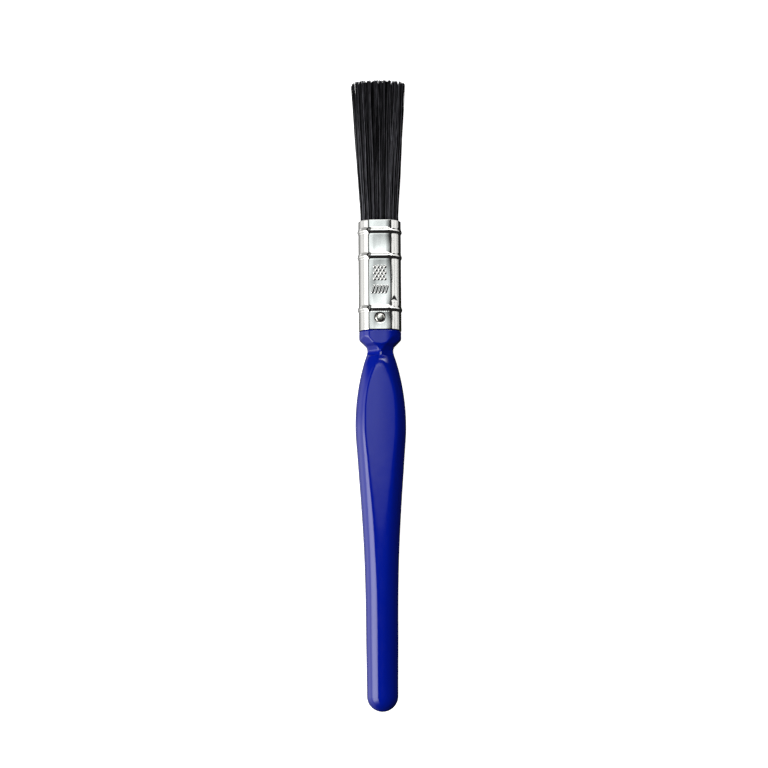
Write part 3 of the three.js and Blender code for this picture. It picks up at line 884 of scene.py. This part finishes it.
# Strip lights that only the bright metal catches: the angles they span round the axis in degrees,
# how far they lean towards the bristles, and how bright they are.
METAL_STRIPS = (
    ("right_strip", (46, 72), (0.1, 0.7), 1.35),
    ("right_middle_strip", (72, 98), (0.1, 0.7), 1.25),
    ("right_far_strip", (98, 114), (0.1, 0.7), 0.8),
    ("overhead_strip", (-15, 12), (0.32, 0.85), 1.5),
    ("left_strip", (-150, -34), (0.42, 0.85), 0.5),
)
STRIP_DISTANCE = 1.5
DARKNESS = 0.02  # between the walls
BRIGHTEST = 8.0
FILL_PLACE = (-0.25, 0.35, 1.05)
FILL_SIZE = 1.2
FILL_POWER = 9.0
CAMERA_DISTANCE = 0.7
CAMERA_ELEVATION = math.radians(82.5)
CAMERA_ROLL = math.radians(0.4)
CAMERA_TARGET = Vector((0.00104, 0.0022, AXIS_Z * MM))
SENSOR_WIDTH = 36
FOCAL_LENGTH = 110.06


def make_studio():
    """The walls, painted on the world round the brush, with darkness between them."""
    world = bpy.data.worlds.new("studio")
    bpy.context.scene.world = world
    world.use_nodes = True
    nodes, links = world.node_tree.nodes, world.node_tree.links
    place = nodes.new("ShaderNodeTexCoord")
    parts = nodes.new("ShaderNodeSeparateXYZ")
    links.new(place.outputs["Generated"], parts.inputs["Vector"])

    def math_node(operation, first, second):
        node = nodes.new("ShaderNodeMath")
        node.operation = operation
        for socket, value in zip(node.inputs, (first, second)):
            if isinstance(value, (int, float)):
                socket.default_value = value
            else:
                links.new(value, socket)
        return node.outputs[0]

    def vector_node(operation, first, second):
        node = nodes.new("ShaderNodeVectorMath")
        node.operation = operation
        links.new(first, node.inputs[0])
        links.new(second, node.inputs[1])
        return node.outputs["Vector"]

    def levels(value, stops, low, high, tint):
        """A brightness that follows stops of a value between low and high, as a share of BRIGHTEST."""
        ramp = nodes.new("ShaderNodeValToRGB")
        ramp.color_ramp.interpolation = "EASE"
        elements = ramp.color_ramp.elements
        while len(elements) < len(stops):
            elements.new(0.5)
        for element, (stop, level) in zip(elements, stops):
            element.position = (stop - low) / (high - low)
            element.color = (*(level * channel for channel in tint), 1)
        links.new(value, ramp.inputs["Fac"])
        return ramp.outputs["Color"]

    turn = math_node("ARCTAN2", parts.outputs["X"], parts.outputs["Z"])
    round_share = math_node("ADD", math_node("DIVIDE", turn, 2 * math.pi), 0.5)
    along_share = math_node("ADD", math_node("DIVIDE", parts.outputs["Y"], 2), 0.5)
    dark_share = DARKNESS / BRIGHTEST
    total = levels(along_share, ((-1, dark_share), (1, dark_share)), -1, 1, PLAIN_TINT)
    for walls, wall_levels, tint in (
        (LEFT_WALL, LEFT_WALL_LEVELS, PLAIN_TINT),
        (LEFT_TABLE, LEFT_TABLE_LEVELS, PLAIN_TINT),
        (OVERHEAD, OVERHEAD_LEVELS, OVERHEAD_TINT),
        (LEFT_EDGE, LEFT_EDGE_LEVELS, PLAIN_TINT),
        (HIGH_LAMP, HIGH_LAMP_LEVELS, PLAIN_TINT),
    ):
        shares = [(stop, level / BRIGHTEST) for stop, level in wall_levels]
        round_level = levels(round_share, walls, -180, 180, PLAIN_TINT)
        wall = vector_node("MULTIPLY", round_level, levels(along_share, shares, -1, 1, tint))
        total = vector_node("ADD", total, wall)
    links.new(total, nodes["Background"].inputs["Color"])
    nodes["Background"].inputs["Strength"].default_value = BRIGHTEST


def make_fill():
    """A broad soft light overhead, for the floor and the shadows, that the brush doesn't reflect."""
    light = bpy.data.lights.new("fill", "AREA")
    light.shape = "SQUARE"
    light.size = FILL_SIZE
    light.energy = FILL_POWER
    fill = bpy.data.objects.new("fill", light)
    fill.location = FILL_PLACE
    fill.visible_glossy = False
    bpy.context.scene.collection.objects.link(fill)


def make_strips(metal):
    """The strip lights, each a rectangle that faces the middle of the brush."""
    for name, (angle_from, angle_to), (lean_from, lean_to), level in METAL_STRIPS:
        angle = math.radians((angle_from + angle_to) / 2)
        lean = (lean_from + lean_to) / 2
        upright = math.sqrt(1 - lean * lean)
        outward = Vector((math.sin(angle) * upright, lean, math.cos(angle) * upright))
        across = Vector((0, 1, 0)).cross(outward).normalized()
        along = outward.cross(across)
        light = bpy.data.lights.new(name, "AREA")
        light.shape = "RECTANGLE"
        light.size = STRIP_DISTANCE * upright * math.radians(angle_to - angle_from)
        light.size_y = STRIP_DISTANCE * (lean_to - lean_from) / upright
        light.energy = level * math.pi * light.size * light.size_y
        strip = bpy.data.objects.new(name, light)
        strip.matrix_world = Matrix((across, along, outward)).transposed().to_4x4()
        strip.location = outward * STRIP_DISTANCE
        strip.light_linking.receiver_collection = metal
        bpy.context.scene.collection.objects.link(strip)


def make_camera():
    """A long lens over the brush, a little towards the handle's end from straight above."""
    data = bpy.data.cameras.new("camera")
    data.sensor_width = SENSOR_WIDTH
    data.lens = FOCAL_LENGTH
    camera = bpy.data.objects.new("camera", data)
    towards = Vector((0, -math.cos(CAMERA_ELEVATION), math.sin(CAMERA_ELEVATION)))
    camera.location = CAMERA_TARGET + CAMERA_DISTANCE * towards
    tilt = Euler((math.pi / 2 - CAMERA_ELEVATION, 0, 0)).to_matrix()
    camera.rotation_euler = (tilt @ Euler((0, 0, -CAMERA_ROLL)).to_matrix()).to_euler()
    bpy.context.scene.collection.objects.link(camera)
    bpy.context.scene.camera = camera


make_floor()
make_studio()
make_fill()
metal = bpy.data.collections.new("bright_metal")
for piece in metal_pieces:
    metal.objects.link(piece)
make_strips(metal)
make_camera()
bpy.context.scene.view_settings.view_transform = "Standard"
